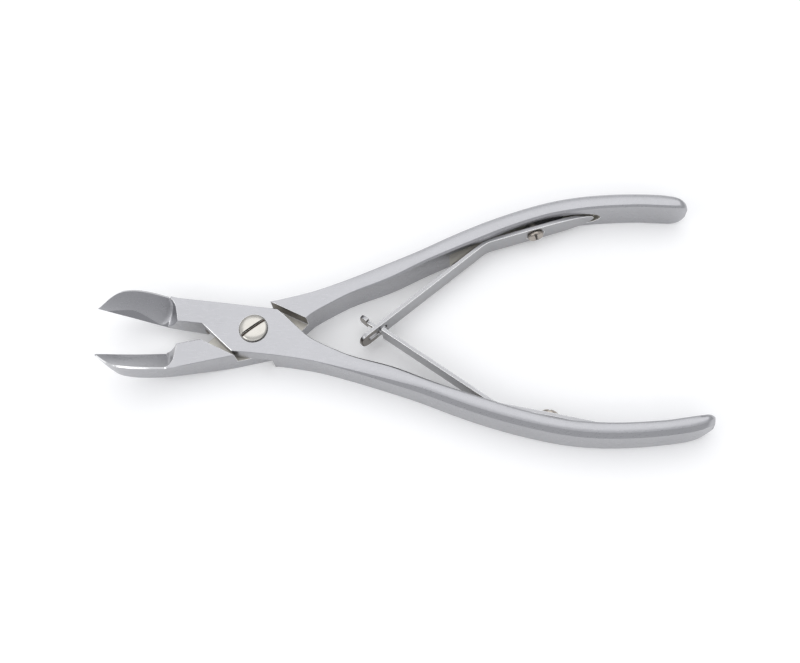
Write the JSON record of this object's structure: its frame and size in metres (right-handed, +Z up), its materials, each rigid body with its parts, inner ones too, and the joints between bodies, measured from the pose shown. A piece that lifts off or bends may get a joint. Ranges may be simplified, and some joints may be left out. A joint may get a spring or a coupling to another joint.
{
  "type": "spring-return cutting pliers",
  "caption": "Open hand pliers with upturned hollow-ground cutting jaws, a half-lap screw joint and leaf springs hooked together between curved handles.",
  "frame": {"origin": "on the pivot axis, in the plane of the flat underside of the joint and handles", "axes": "+X from the jaws towards the handles, +Z up along the pivot screw towards its slotted head"},
  "size_m": [0.1516, 0.0658, 0.0145],
  "materials": {
    "lever_steel": "fine satin, polished along the jaws' rims",
    "spring_steel": "satin spring strip",
    "screw_metal": "polished, slightly warm"
  },
  "bodies": {
    "front_lever": {"lever_a": "lever_steel", "lower_spring_screw": "screw_metal"},
    "back_lever": {"lever_b": "lever_steel", "pivot_screw": "screw_metal", "upper_spring_screw": "screw_metal"},
    "slotted_leaf": {"upper_spring": "spring_steel"},
    "hooked_leaf": {"lower_spring": "spring_steel"}
  },
  "joints": [
    {"name": "pivot", "type": "hinge", "parent": "front_lever", "child": "back_lever", "pos_m": [0, 0, 0], "axis": [0, 0, -1], "range_deg": [0, 17.2], "stiffness_Nm_per_rad": 2.5},
    {"name": "slotted_leaf_flex", "type": "hinge", "parent": "back_lever", "child": "slotted_leaf", "pos_m": [0.07298, 0.02518, 0], "axis": [0, 0, -1], "range_deg": [0, 6.1]},
    {"name": "hooked_leaf_flex", "type": "hinge", "parent": "front_lever", "child": "hooked_leaf", "pos_m": [0.07298, -0.02518, 0], "axis": [0, 0, 1], "range_deg": [0, 6.1]}
  ],
  "couplings": [
    {"joint": "slotted_leaf_flex", "follows": "pivot", "ratio": 0.35},
    {"joint": "hooked_leaf_flex", "follows": "pivot", "ratio": 0.35}
  ]
}
